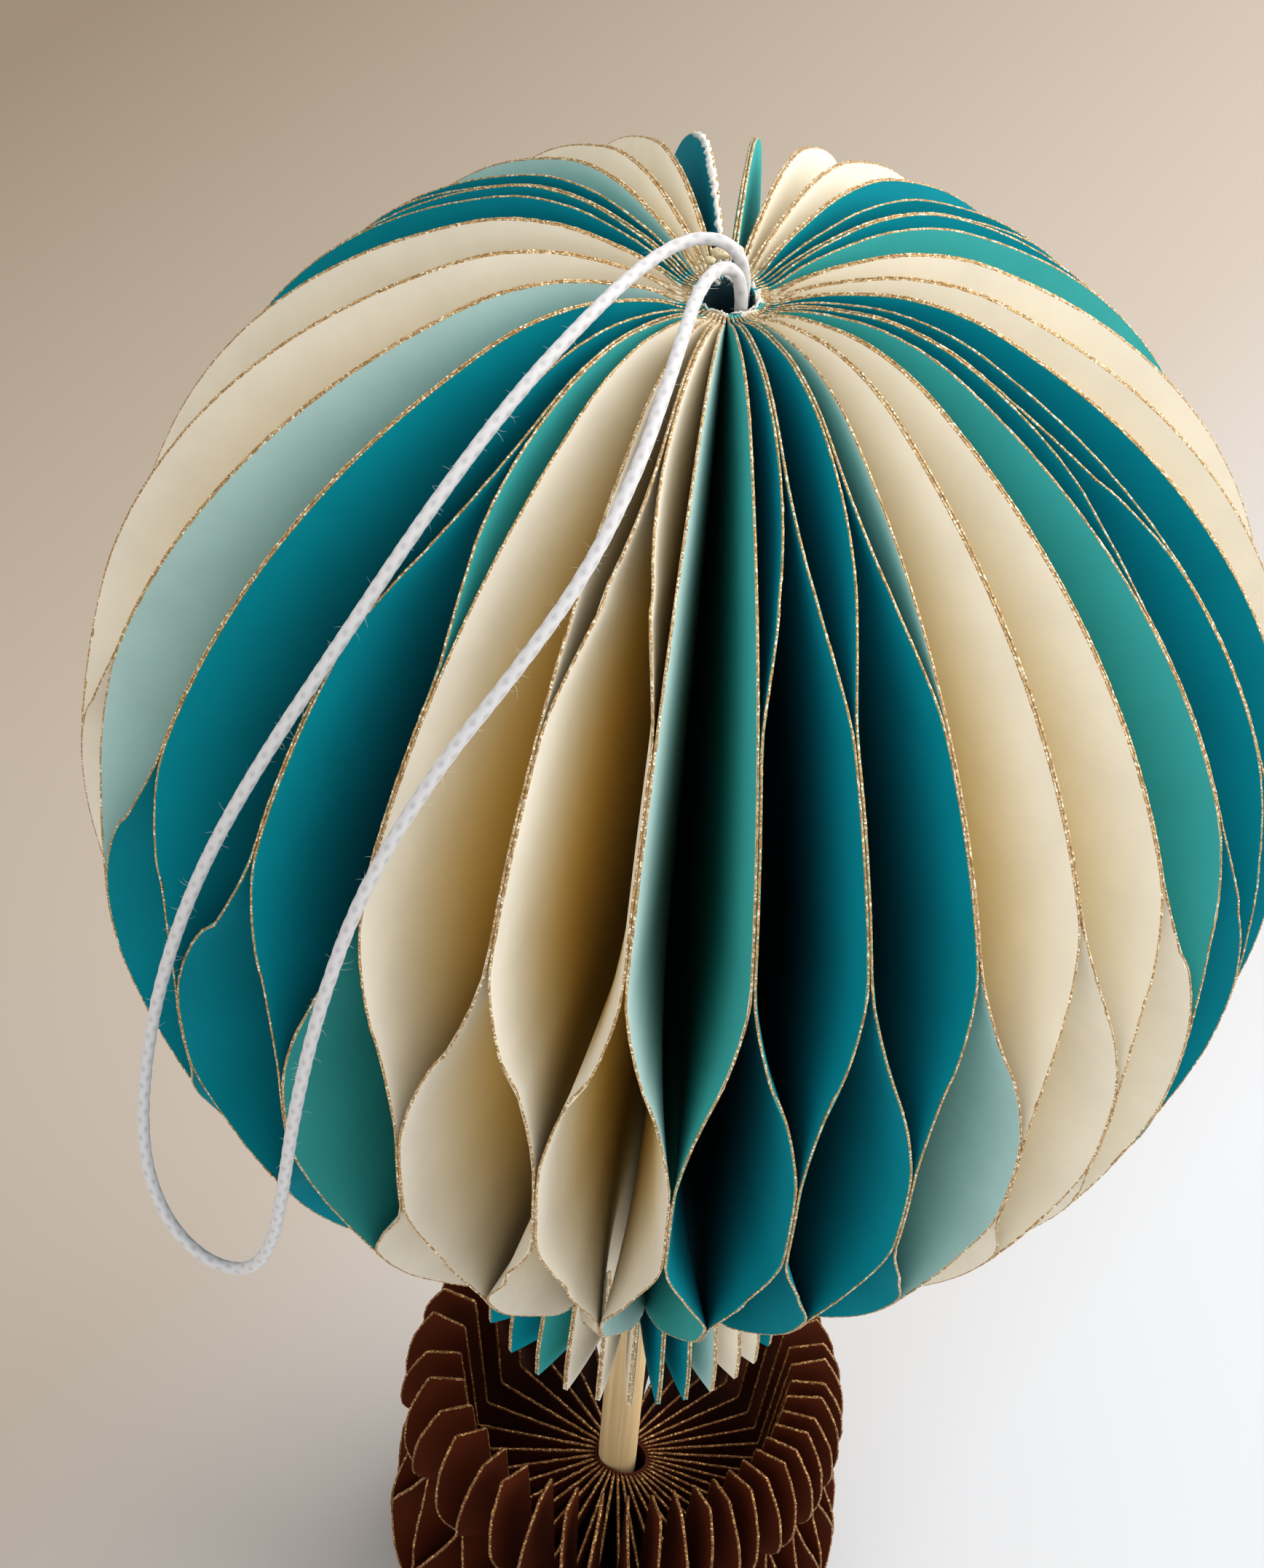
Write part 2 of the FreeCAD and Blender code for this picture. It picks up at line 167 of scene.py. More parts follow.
class BalloonBasketSettings(bpy.types.PropertyGroup):
    """Sizes and colours of the basket."""

    floor_height: length("Floor height", "Height of the recess floor", 24 * MM)
    notch_height: length("Notch height", "Height of the waist between the two bulges", 28 * MM)
    foot_radius: length("Foot radius", "Radius at the foot", 23.5 * MM)
    lower_radius: length("Lower bulge", "Radius of the lower bulge", 28.2 * MM)
    notch_radius: length("Notch radius", "Radius at the waist", 24.6 * MM)
    upper_radius: length("Upper bulge", "Radius of the upper bulge", 27.2 * MM)
    rim_radius: length("Rim radius", "Outer radius of the rim's top", 24.2 * MM)
    recess_floor: length("Recess floor", "Radius of the recess at its floor", 18 * MM)
    recess_rim: length("Recess rim", "Radius of the recess at the rim", 20.2 * MM)
    rim_slope: length("Rim slope", "How far the rim drops towards the recess", 0.8 * MM)
    card_thickness: length("Card thickness", "Thickness of the card", 0.2 * MM)
    glitter_radius: length("Glitter size", "Half the width of the glitter on the edges", 0.19 * MM)
    cards: IntProperty(name="Cards", description="Folded cards round the basket", default=40, min=8)
    crowding: FloatProperty(
        name="Crowding", description="How much closer the cards stand on one side",
        default=0.3, min=0.0, max=0.8,
    )
    crowded_side: FloatProperty(
        name="Crowded side", description="Angle of the side where they stand closest",
        default=math.radians(-40), subtype="ANGLE",
    )
    brown: colour("Brown", "Dark brown card", "#4C1D0A")
    # The colour at the fold is painted shade deep in the basket's folds
    brown_painted_fold_shade: colour("Brown at the fold", "Dark brown card deep in the folds", "#3A1407")
    glitter: colour("Glitter", "Copper-gold glitter on the edges", "#A8743A")


class BalloonTrimSettings(bpy.types.PropertyGroup):
    """Sizes and colours of the stick, the crown and the cord."""

    stick_radius: length("Stick radius", "Radius of the wooden stick", 2.4 * MM)
    stick_clearance: length("Stick clearance", "Gap between the stick and the folds", 0.2 * MM)
    cord_diameter: length("Cord diameter", "Diameter of the braided cord", 1.3 * MM)
    end_spread: length("End spread", "How far the cord's ends lie from the axis each way", 0.8 * MM)
    fuzz: IntProperty(name="Fuzz", description="Loose fibres on the cord", default=420, min=0)
    wood: colour("Wood", "Pale wood of the stick", "#E2C28E")
    cotton: colour("Cotton", "White cotton of the cord", "#D2D1D3")
    torn: colour("Torn paper", "White paper core round the crown hole", "#EFEDE6")
    glue: colour("Glue", "Dried glue at the crown", "#D9C9A0")


class BalloonStageSettings(bpy.types.PropertyGroup):
    """The camera, the floor and the light."""

    camera_distance: length("Camera distance", "From the camera to the ball's centre", 327.5 * MM)
    elevation: FloatProperty(
        name="Elevation", description="Camera's height angle above the ball",
        default=math.radians(41.37), subtype="ANGLE",
    )
    roll: FloatProperty(
        name="Roll", description="How far the camera is rolled",
        default=math.radians(4.63), subtype="ANGLE",
    )
    field_of_view: FloatProperty(
        name="Field of view", description="Vertical angle of the picture",
        default=2 * math.atan(1077 / 4455), subtype="ANGLE",
    )
    aim: FloatVectorProperty(
        name="Aim", description="Point at the picture's centre, from the ball's centre",
        default=(-4.9 * MM, -3.4 * MM, -3.7 * MM), subtype="TRANSLATION",
    )
    # The floor's colours paint the light's fall-off: painted shade that darkens it behind and to the left
    floor_painted_lit_side: colour("Floor, light side", "Floor in front and on the right", "#D0D2D6")
    floor_painted_half_shade: colour("Floor, middle", "Floor between its light and dark sides", "#BAAEA2")
    floor_painted_shade_side: colour("Floor, dark side", "Floor behind and on the left", "#8B7C6A")


# Helpers for meshes


def deselect():
    """Nothing is selected before a new piece is made."""
    for thing in bpy.context.selected_objects:
        thing.select_set(False)


def select_only(*pieces):
    """Only these pieces are selected, and the first is active."""
    deselect()
    for piece in pieces:
        piece.select_set(True)
    bpy.context.view_layer.objects.active = pieces[0]


def catmull(points, count):
    """Smooth line of `count` points through the given ones."""
    table = np.array(points, float)
    ends = np.vstack([2 * table[0] - table[1], table, 2 * table[-1] - table[-2]])
    steps = np.linspace(0, len(table) - 1, count)
    spans = np.minimum(steps.astype(int), len(table) - 2)
    t = (steps - spans)[:, None]
    p0, p1, p2, p3 = (ends[spans + i] for i in range(4))
    return 0.5 * (
        2 * p1 + (p2 - p0) * t + (2 * p0 - 5 * p1 + 4 * p2 - p3) * t ** 2
        + (3 * p1 - p0 - 3 * p2 + p3) * t ** 3
    )


def evenly_spaced(line, step):
    """The same line with points about `step` apart."""
    gaps = np.linalg.norm(np.diff(line, axis=0), axis=1)
    along = np.concatenate([[0], np.cumsum(gaps)])
    count = max(2, int(round(along[-1] / step)) + 1)
    places = np.linspace(0, along[-1], count)
    return np.stack([np.interp(places, along, line[:, i]) for i in range(line.shape[1])], axis=1)


def shaped_grid(name, points):
    """A grid primitive whose rows and columns of vertices are moved to `points`."""
    rows, columns = points.shape[:2]
    deselect()
    bpy.ops.mesh.primitive_grid_add(x_subdivisions=columns - 1, y_subdivisions=rows - 1, size=1)
    piece = bpy.context.active_object
    piece.name = name
    start = np.empty(len(piece.data.vertices) * 3)
    piece.data.vertices.foreach_get("co", start)
    start = start.reshape(-1, 3)
    column = np.rint((start[:, 0] + 0.5) * (columns - 1)).astype(int)
    row = np.rint((start[:, 1] + 0.5) * (rows - 1)).astype(int)
    piece.data.vertices.foreach_set("co", points[row, column].ravel())
    piece.data.update()
    return piece, row, column


def close_tube(piece):
    """Joins the two long borders of a grid that was rolled into a tube."""
    bpy.ops.object.mode_set(mode="EDIT")
    bpy.ops.mesh.select_all(action="SELECT")
    bpy.ops.mesh.remove_doubles(threshold=1e-7)
    bpy.ops.mesh.normals_make_consistent(inside=False)
    bpy.ops.object.mode_set(mode="OBJECT")
    piece.data.shade_smooth()


def rolled_tube(name, centres, across, upward, radii, sides, strand=None):
    """A tube along `centres`. `radii` gives each vertex its distance from the middle, and `strand`
    how much of a strand lies there."""
    angles = np.linspace(0, 2 * math.pi, sides + 1)
    angles[-1] = 0.0
    wave = np.cos(angles)[None, :, None] * across[:, None, :]
    wave = wave + np.sin(angles)[None, :, None] * upward[:, None, :]
    piece, row, column = shaped_grid(name, centres[:, None, :] + wave * radii[:, :, None])
    if strand is not None:
        attribute = piece.data.attributes.new("strand", "FLOAT", "POINT")
        attribute.data.foreach_set("value", strand[row, column])
    close_tube(piece)
    return piece


def joined(pieces, name):
    """Several meshes as one piece."""
    select_only(*pieces)
    if len(pieces) > 1:
        bpy.ops.object.join()
    pieces[0].name = name
    return pieces[0]


def apply_modifier(piece, kind, **settings):
    """Adds one modifier, sets it and applies it."""
    modifier = piece.modifiers.new(kind.title(), kind)
    for key, value in settings.items():
        setattr(modifier, key, value)
    select_only(piece)
    bpy.ops.object.modifier_apply(modifier=modifier.name)


def smooth_by_angle(piece, degrees):
    """Soft shading, with the card's cut edges kept crisp."""
    select_only(piece)
    bpy.ops.object.shade_smooth_by_angle(angle=math.radians(degrees))


def wobble(*seeds):
    """A fixed value from -1 to 1 for a pair, wall or card."""
    return noise.noise(Vector([7.31 * seed + 0.37 for seed in (seeds + (0, 0))[:3]])) * 1.6


# The two rings of folded cards


def wall_angles(cards, spacing, first_pair):
    """Angle of every wall in radians, for walls in pairs that stand apart as in the list."""
    stations = np.concatenate([[0.0], np.cumsum(spacing)])
    pairs = cards // 2
    places = np.linspace(0, len(spacing), pairs + 1)
    middles = first_pair + 360.0 * np.interp(places, np.arange(len(stations)), stations) / stations[-1]
    steps = np.diff(middles)
    angles = np.empty(cards)
    angles[0::2] = middles[:-1] - np.roll(steps, 1) / 4
    angles[1::2] = middles[:-1] + steps / 4
    return np.radians(angles)


class CardRing:
    """A ring of folded cards. Wall w has card w - 1 on one side of it and card w on the other."""

    card_gap = 0.015 * MM
    fold_gap = 0.03 * MM
    glued_gap = 0.04 * MM

    def __init__(self, angles, thickness, trim):
        self.angles = angles
        self.cards = len(angles)
        self.thickness = thickness
        self.spine = trim.stick_radius + trim.stick_clearance + thickness

    def angle(self, wall):
        """Angle of a wall in radians."""
        return self.angles[wall % self.cards] + 2 * math.pi * (wall // self.cards)

    def start(self, card):
        """Radius of the middle of a card's fold."""
        pitch = self.angle(card + 1) - self.angle(card)
        by_cards = (2 * self.thickness + self.card_gap + self.fold_gap) / pitch
        return max(self.spine, by_cards) - self.thickness / 2

    def points(self, wall, radius, height, lean, side):
        """Points on a wall. lean runs from -1 to 1; side is +1 or -1 for its two cards and 0
        for the line between them."""
        here = self.angle(wall)
        after = (self.angle(wall + 1) - here) / 2
        before = (here - self.angle(wall - 1)) / 2
        half_sector = np.where(lean > 0, after, before)
        reach = (radius * np.sin(half_sector) - self.glued_gap / 2) / np.cos(half_sector)
        travel = np.maximum(0.0, reach - self.card_gap / 2 - self.thickness)
        sideways = side * (self.card_gap / 2 + self.thickness / 2) + lean * travel
        x = radius * math.cos(here) - sideways * math.sin(here)
        y = radius * math.sin(here) + sideways * math.cos(here)
        return np.stack([x, y, height], axis=-1)


def envelope_ring(context):
    """The ball's ring of cards."""
    settings = context.scene.balloon_envelope
    angles = wall_angles(settings.cards, ENVELOPE_SPACING, ENVELOPE_FIRST_PAIR)
    return CardRing(angles, settings.card_thickness, context.scene.balloon_trim)


def basket_ring(context):
    """The basket's ring of cards, which stand closer together on one side."""
    settings = context.scene.balloon_basket
    pairs = settings.cards // 2
    away = 2 * math.pi * (np.arange(pairs) + 0.5) / pairs - settings.crowded_side
    angles = wall_angles(settings.cards, 1 - settings.crowding * np.cos(away), 0.0)
    return CardRing(angles, settings.card_thickness, context.scene.balloon_trim)


def envelope_line(settings, wall, count):
    """Outer edge of a ball leaf from mouth to crown as radius, height and lean."""
    centre = MOUTH_HEIGHT + settings.mouth_drop
    skirt = settings.mouth_drop - settings.neck_drop
    ball = settings.ball_radius - settings.glitter_radius
    rows = [
        (settings.skirt_radius, MOUTH_HEIGHT, -1.0),
        (settings.skirt_radius, MOUTH_HEIGHT + 0.25 * skirt, -1.0),
        (0.5 * (settings.skirt_radius + settings.neck_radius), MOUTH_HEIGHT + 0.55 * skirt, -1.0),
        (settings.neck_radius, centre - settings.neck_drop, -1.0),
        (1.15 * settings.neck_radius, centre - 0.5 * (settings.neck_drop + 0.94 * ball), -1.0),
        (0.42 * ball, centre - 0.94 * ball, -1.0),
    ]
    paired = wall not in CROWN_GLUED_WALLS and wall - 1 not in CROWN_GLUED_WALLS
    for latitude, joint in BALL_ROWS:
        angle = math.radians(latitude)
        held = 1.0 if paired and latitude >= CROWN_LATITUDE else joint
        rows.append((ball * math.cos(angle), centre + ball * math.sin(angle), held))
    dip = settings.lobe_rise - settings.crown_rise
    top = centre + settings.lobe_rise
    for share, fall, joint in ((1.0, 0.0, -1.0), (0.68, 0.22, -0.9), (0.45, 0.56, -0.7)):
        rows.append((share * settings.lobe_radius, top - fall * dip, 1.0 if paired else joint))
    rows.append((settings.crown_corner, centre + settings.crown_rise, 0.0))
    line = catmull(rows, count)
    where = np.linspace(0, 1, count)
    joint = np.clip(line[:, 2], -1, 1)
    # Each glued spot sits a little higher or lower than the next one
    pairs = settings.cards // 2
    closed = np.interp(where + JOINT_WANDER * wobble(wall // 2, 3), where, joint)
    opened = np.interp(where + JOINT_WANDER * wobble((wall + 1) // 2 % pairs, 5), where, joint)
    lean = np.maximum(closed, 0) + np.minimum(opened, 0)
    drift = np.array([noise.noise(Vector((wall * 1.7, w * 5, 2.0))) for w in where])
    lean = (lean + EDGE_SWAY * drift * (1 - np.abs(lean))) * (1 if wall % 2 == 0 else -1)
    line[:, 2] = np.clip(lean, -1, 1)
    return line


def envelope_card(ring, card, settings):
    """One folded card: a leaf on each side of its fold, bent towards the glued neighbours."""
    fold_bottom = MOUTH_HEIGHT + 1.5 * MM
    shares = np.array([0.0, 0.14, 0.28, 0.41, 0.53, 0.64, 0.74, 0.83, 0.9, 0.96, 1.0])
    leaves = []
    for wall, side in ((card, 1), (card + 1, -1)):
        line = envelope_line(settings, wall % ring.cards, LEAF_POINTS)
        radius, height, lean = line[:, :1], line[:, 1:2], line[:, 2:]
        gaps = np.hypot(np.diff(line[:, 0]), np.diff(line[:, 1]))
        along = np.concatenate([[0], np.cumsum(gaps)])[:, None]
        fold_height = fold_bottom + (height[-1] - fold_bottom) * along / along[-1]
        start = ring.start(card)
        r = start + (radius - start) * shares
        out = np.clip((r - ring.spine) / (radius - ring.spine), 0, 1)
        z = fold_height + (height - fold_height) * out
        leaves.append(ring.points(wall, r, z, lean * out ** BALL_LEAF_CURVE, side))
    points = np.concatenate([leaves[0][:, ::-1], leaves[1]], axis=1)
    piece, _, _ = shaped_grid("card", points)
    return finished_card(piece, ring.thickness)


def finished_card(piece, thickness):
    """Gives a card its thickness; the second leaf has the second material, its cut edges the third."""
    piece.data.uv_layers[0].name = "leaf"
    uv = np.empty(len(piece.data.loops) * 2)
    piece.data.uv_layers[0].data.foreach_get("uv", uv)
    u = uv.reshape(-1, 2)[:, 0]
    for face in piece.data.polygons:
        middle = sum(u[i] for i in face.loop_indices) / face.loop_total
        face.material_index = 0 if middle < 0.5 else 1
    for _ in range(4):
        piece.data.materials.append(None)
    apply_modifier(
        piece, "SOLIDIFY", thickness=thickness, offset=0, use_even_offset=False, material_offset_rim=2
    )
    smooth_by_angle(piece, 40)
    return piece


def basket_joint(height, notch, top):
    """How far the basket's walls are drawn together at a height."""
    heights = [0.0, 0.22 * notch, 0.4 * notch, 0.6 * notch, 0.8 * notch, notch,
               notch + 0.25 * (top - notch), top]
    return np.interp(height, heights, [0.0, 1.0, 0.0, -1.0, 0.0, 1.0, 0.3, -0.2])


def basket_edges(settings, rows):
    """Lower outer edge, upper outer edge and recess wall of a basket leaf, as radius and height."""
    lower_bulge = (0.0, 0.55, 0.92, 1.0, 0.9, 0.42, 0.0)
    upper_bulge = (0.0, 0.75, 1.0, 0.95, 0.8, 0.45, 0.0)

    def bulged(low, high, r_low, r_high, r_bulge, bulge):
        steps = np.linspace(0, 1, len(bulge))
        base = r_low + (r_high - r_low) * steps
        points = np.stack([base + (r_bulge - base) * np.array(bulge), low + (high - low) * steps], axis=1)
        return catmull(points, rows)

    lower = bulged(
        0.0, settings.notch_height, settings.foot_radius, settings.notch_radius,
        settings.lower_radius, lower_bulge,
    )
    upper = bulged(
        settings.notch_height, BASKET_TOP, settings.notch_radius, settings.rim_radius,
        settings.upper_radius, upper_bulge,
    )
    steps = np.linspace(0, 1, rows)[:, None]
    corner = np.array([[settings.recess_floor, settings.floor_height]])
    rim = np.array([[settings.recess_rim, BASKET_TOP - settings.rim_slope]])
    recess = corner + (rim - corner) * steps
    return lower, upper, recess


def basket_lean(wall, height, settings):
    """How a basket wall leans at a height."""
    joint = basket_joint(height, settings.notch_height, BASKET_TOP)
    toward = 1 if wall % 2 == 0 else -1
    drift = 0.25 * wobble(wall, 4)
    return np.clip(toward * joint + drift * (1 - np.abs(joint)), -1, 1)


def basket_card(ring, card, settings):
    """One folded basket card: the panel at the stick stops at the recess floor."""
    rows = 12
    lower, upper, recess = basket_edges(settings, rows)
    inner_shares = np.linspace(0, 1, 5)
    outer_shares = np.linspace(0, 1, 7)[1:]
    start = ring.start(card)
    floor_steps = np.linspace(0, settings.floor_height, rows)
    inner_r = np.concatenate([np.full(rows, settings.recess_floor), recess[1:, 0]])
    inner_z = np.concatenate([floor_steps, recess[1:, 1]])
    outer_r = np.concatenate([lower[:, 0], upper[1:, 0]])
    outer_z = np.concatenate([lower[:, 1], upper[1:, 1]])
    fold_z = np.minimum(inner_z, settings.floor_height)
    leaves = []
    for wall, side in ((card, 1), (card + 1, -1)):
        lean = basket_lean(wall % ring.cards, outer_z, settings)
        near_r = start + (inner_r - start)[:, None] * inner_shares
        near_z = fold_z[:, None] + (inner_z - fold_z)[:, None] * inner_shares
        far_r = inner_r[:, None] + (outer_r - inner_r)[:, None] * outer_shares
        far_z = inner_z[:, None] + (outer_z - inner_z)[:, None] * outer_shares
        near = ring.points(wall, near_r, near_z, 0 * near_r, side)
        far = ring.points(wall, far_r, far_z, lean[:, None] * outer_shares ** BASKET_LEAF_CURVE, side)
        leaves.append(np.concatenate([near, far], axis=1))
    points = np.concatenate([leaves[0][:, ::-1], leaves[1]], axis=1)
    piece, row, column = shaped_grid("card", points)
    cut = len(outer_shares)
    gone = (row >= rows) & (column > cut) & (column < points.shape[1] - 1 - cut)
    bpy.ops.object.mode_set(mode="EDIT")
    bpy.ops.mesh.select_all(action="DESELECT")
    bpy.ops.object.mode_set(mode="OBJECT")
    piece.data.vertices.foreach_set("select", gone)
    bpy.ops.object.mode_set(mode="EDIT")
    bpy.ops.mesh.delete(type="VERT")
    bpy.ops.object.mode_set(mode="OBJECT")
    return finished_card(piece, ring.thickness)


def glitter_bead(ring, wall, line, radius, step, rough=0.28):
    """A rough line of glitter along one wall's edge, over the two cards that meet in it."""
    centres = ring.points(wall, line[:, 0], line[:, 1], line[:, 2], 0)
    centres = evenly_spaced(centres, step)
    ahead = np.gradient(centres, axis=0)
    ahead /= np.linalg.norm(ahead, axis=1)[:, None]
    angle = ring.angle(wall)
    across = np.tile([-math.sin(angle), math.cos(angle), 0.0], (len(centres), 1))
    across -= ahead * (across * ahead).sum(axis=1)[:, None]
    across /= np.linalg.norm(across, axis=1)[:, None]
    upward = np.cross(ahead, across)
    rng = np.random.default_rng(911 + wall)
    sides = 5
    radii = radius * (1 + rough * rng.uniform(-1, 1, (len(centres), sides)))
    radii[0] *= 0.2
    radii[-1] *= 0.2
    radii = np.concatenate([radii, radii[:, :1]], axis=1)
    return rolled_tube("bead", centres, across, upward, radii, sides)


# Materials


def linear(text):
    """An sRGB hex colour as linear RGBA."""
    values = [int(text[i:i + 2], 16) / 255 for i in (1, 3, 5)]
    return [v / 12.92 if v <= 0.04045 else ((v + 0.055) / 1.055) ** 2.4 for v in values] + [1.0]


def shade(text, factor):
    """The same colour, darker or lighter."""
    return [v * factor for v in linear(text)[:3]] + [1.0]


def add(tree, kind, inputs=None, **settings):
    """Adds one node: inputs are values or the sockets that feed them."""
    made = tree.nodes.new(kind)
    for key, value in settings.items():
        setattr(made, key, value)
    for key, value in (inputs or {}).items():
        if isinstance(value, bpy.types.NodeSocket):
            tree.links.new(value, made.inputs[key])
        else:
            made.inputs[key].default_value = value
    return made


def new_material(name):
    """An empty node material."""
    material = bpy.data.materials.new(name)
    material.use_nodes = True
    material.node_tree.nodes.clear()
    return material, material.node_tree


def ramp(tree, factor, low, high, colour_low, colour_high):
    """A two-colour ramp between two places of a factor."""
    made = add(tree, "ShaderNodeValToRGB", {"Fac": factor})
    made.color_ramp.elements[0].position = low
    made.color_ramp.elements[0].color = colour_low
    made.color_ramp.elements[1].position = high
    made.color_ramp.elements[1].color = colour_high
    return made.outputs["Color"]


def fibres(tree, place, scale, detail, strength, depth):
    """Noise that stands for fibres, and the relief that they give the surface."""
    fibre = add(tree, "ShaderNodeTexNoise", {"Vector": place, "Scale": scale, "Detail": detail})
    bump = add(
        tree, "ShaderNodeBump",
        {"Height": fibre.outputs["Fac"], "Strength": strength, "Distance": depth},
    )
    return fibre, bump.outputs["Normal"]


def finish_surface(tree, inputs):
    """A principled surface with its output."""
    surface = add(tree, "ShaderNodeBsdfPrincipled", inputs)
    add(tree, "ShaderNodeOutputMaterial", {"Surface": surface.outputs["BSDF"]})


def coloured_card(name, text, fold_shade_text, middle, reach, roughness=0.82, specular=0.12):
    """Wood-free craft card, dyed through: a dry matte face with a fine felt-like tooth. Painted shade
    deepens its colour from the rim, `reach` away from the height `middle` on the axis, towards the fold."""
    material, tree = new_material(name)
    place = add(tree, "ShaderNodeTexCoord").outputs["Object"]
    centred = add(tree, "ShaderNodeMapping", {"Vector": place, "Location": (0, 0, -middle)})
    away = add(tree, "ShaderNodeVectorMath", {0: centred.outputs["Vector"]}, operation="LENGTH")
    rim = add(
        tree, "ShaderNodeMapRange",
        {"Value": away.outputs["Value"], "From Min": 0.62 * reach, "From Max": reach},
        interpolation_type="SMOOTHSTEP",
    )
    # Clouding of the pulp, about 6 mm across, and fibres of about 0.35 mm
    cloud = add(tree, "ShaderNodeTexNoise", {"Vector": place, "Scale": 160.0, "Detail": 3.0})
    fibre, relief = fibres(tree, place, 2800.0, 2.0, 0.12, 0.05 * MM)
    clouded = ramp(tree, cloud.outputs["Fac"], 0.3, 0.7, shade(text, 0.94), shade(text, 1.02))
    # Painted shade: the colour turns from the card's own colour at the rim to the darker fold colour
    # inwards
    fold_shaded = add(
        tree, "ShaderNodeMix", {"Factor": rim.outputs["Result"], "A": linear(fold_shade_text), "B": clouded},
        data_type="RGBA",
    )
    grained = add(
        tree, "ShaderNodeMix",
        {"Factor": 0.05, "A": fold_shaded.outputs["Result"], "B": fibre.outputs["Color"]},
        data_type="RGBA", blend_type="OVERLAY",
    )
    finish_surface(tree, {
        "Base Color": grained.outputs["Result"], "Roughness": roughness, "IOR": 1.45,
        "Specular IOR Level": specular, "Normal": relief,
    })
    return material


def cut_card_edge(name, text):
    """The cut through the card: the paler, rougher core."""
    material, tree = new_material(name)
    place = add(tree, "ShaderNodeTexCoord").outputs["Object"]
    fibre = add(tree, "ShaderNodeTexNoise", {"Vector": place, "Scale": 3500.0, "Detail": 2.0})
    pale = ramp(tree, fibre.outputs["Fac"], 0.3, 0.7, shade(text, 0.9), shade(text, 1.05))
    finish_surface(tree, {"Base Color": pale, "Roughness": 0.9, "Specular IOR Level": 0.2})
    return material


def glitter_flakes(name, text, glint_colour, dark):
    """Polyester glitter in clear glue: flat flakes of about 0.18 mm that catch the light one by one through
    their bumps, with painted glints that turn some flakes near white.
    """
    material, tree = new_material(name)
    place = add(tree, "ShaderNodeTexCoord").outputs["Object"]
    flakes = add(tree, "ShaderNodeTexVoronoi", {"Vector": place, "Scale": 5600.0})
    grains = add(tree, "ShaderNodeTexNoise", {"Vector": place, "Scale": 1500.0, "Detail": 3.0})
    value = add(tree, "ShaderNodeSeparateColor", {"Color": flakes.outputs["Color"]}).outputs["Red"]
    tone = ramp(tree, value, 0.15, 0.85, linear(dark), linear(text))
    # Painted glints: the brightest flakes are painted in the glint colour
    painted_glint_mask = ramp(tree, value, 0.8, 0.93, (0, 0, 0, 1), (1, 1, 1, 1))
    glinted = add(
        tree, "ShaderNodeMix", {"Factor": painted_glint_mask, "A": tone, "B": linear(glint_colour)}, data_type="RGBA",
    )
    bump = add(
        tree, "ShaderNodeBump",
        {"Height": flakes.outputs["Distance"], "Strength": 0.6, "Distance": 0.1 * MM},
    )
    rough = add(
        tree, "ShaderNodeMapRange", {"Value": grains.outputs["Fac"], "To Min": 0.28, "To Max": 0.6},
    )
    finish_surface(tree, {
        "Base Color": glinted.outputs["Result"], "Metallic": 0.45, "Roughness": rough.outputs["Result"],
        "Normal": bump.outputs["Normal"],
    })
    return material


def turned_wood(name, text):
    """Birch dowel: pale, dry and sanded, with fine grain along the stick."""
    material, tree = new_material(name)
    place = add(tree, "ShaderNodeTexCoord").outputs["Object"]
    drawn = add(tree, "ShaderNodeMapping", {"Vector": place, "Scale": (1900.0, 1900.0, 38.0)})
    grain, relief = fibres(tree, drawn.outputs["Vector"], 1.0, 4.0, 0.3, 0.08 * MM)
    broad = add(tree, "ShaderNodeMapping", {"Vector": place, "Scale": (420.0, 420.0, 9.0)})
    band = add(
        tree, "ShaderNodeTexNoise", {"Vector": broad.outputs["Vector"], "Scale": 1.0, "Detail": 2.0},
    )
    fine = ramp(tree, grain.outputs["Fac"], 0.35, 0.65, shade(text, 0.62), shade(text, 1.0))
    wide = ramp(tree, band.outputs["Fac"], 0.35, 0.65, shade(text, 0.8), shade(text, 1.04))
    both = add(tree, "ShaderNodeMix", {"Factor": 0.5, "A": fine, "B": wide}, data_type="RGBA")
    finish_surface(tree, {
        "Base Color": both.outputs["Result"], "Roughness": 0.6, "Normal": relief,
    })
    return material


def braided_cotton(name, text):
    """Braided cotton: soft white yarn, with painted shade that greys it in the grooves between its strands.
    """
    material, tree = new_material(name)
    strand = add(tree, "ShaderNodeAttribute", attribute_name="strand").outputs["Fac"]
    place = add(tree, "ShaderNodeTexCoord").outputs["Object"]
    _, relief = fibres(tree, place, 5200.0, 2.0, 0.4, 0.06 * MM)
    # Painted shade: the colour greys where the strands part, in the grooves
    tone = ramp(tree, strand, 0.1, 0.75, shade(text, 0.78), linear(text))
    finish_surface(tree, {
        "Base Color": tone, "Roughness": 0.88, "Specular IOR Level": 0.2, "Sheen Weight": 0.35,
        "Sheen Roughness": 0.5, "Normal": relief,
    })
    return material


def loose_fibre(name, text):
    """Single cotton fibres that stand off the yarn."""
    material, tree = new_material(name)
    finish_surface(tree, {"Base Color": linear(text), "Roughness": 0.8, "Sheen Weight": 0.4})
    return material


def torn_paper(name, text):
    """Torn paper core: white fibres, ragged and quite rough."""
    material, tree = new_material(name)
    place = add(tree, "ShaderNodeTexCoord").outputs["Object"]
    fibre, relief = fibres(tree, place, 1800.0, 5.0, 0.7, 0.2 * MM)
    tone = ramp(tree, fibre.outputs["Fac"], 0.3, 0.7, shade(text, 0.7), linear(text))
    finish_surface(tree, {"Base Color": tone, "Roughness": 0.95, "Normal": relief})
    return material


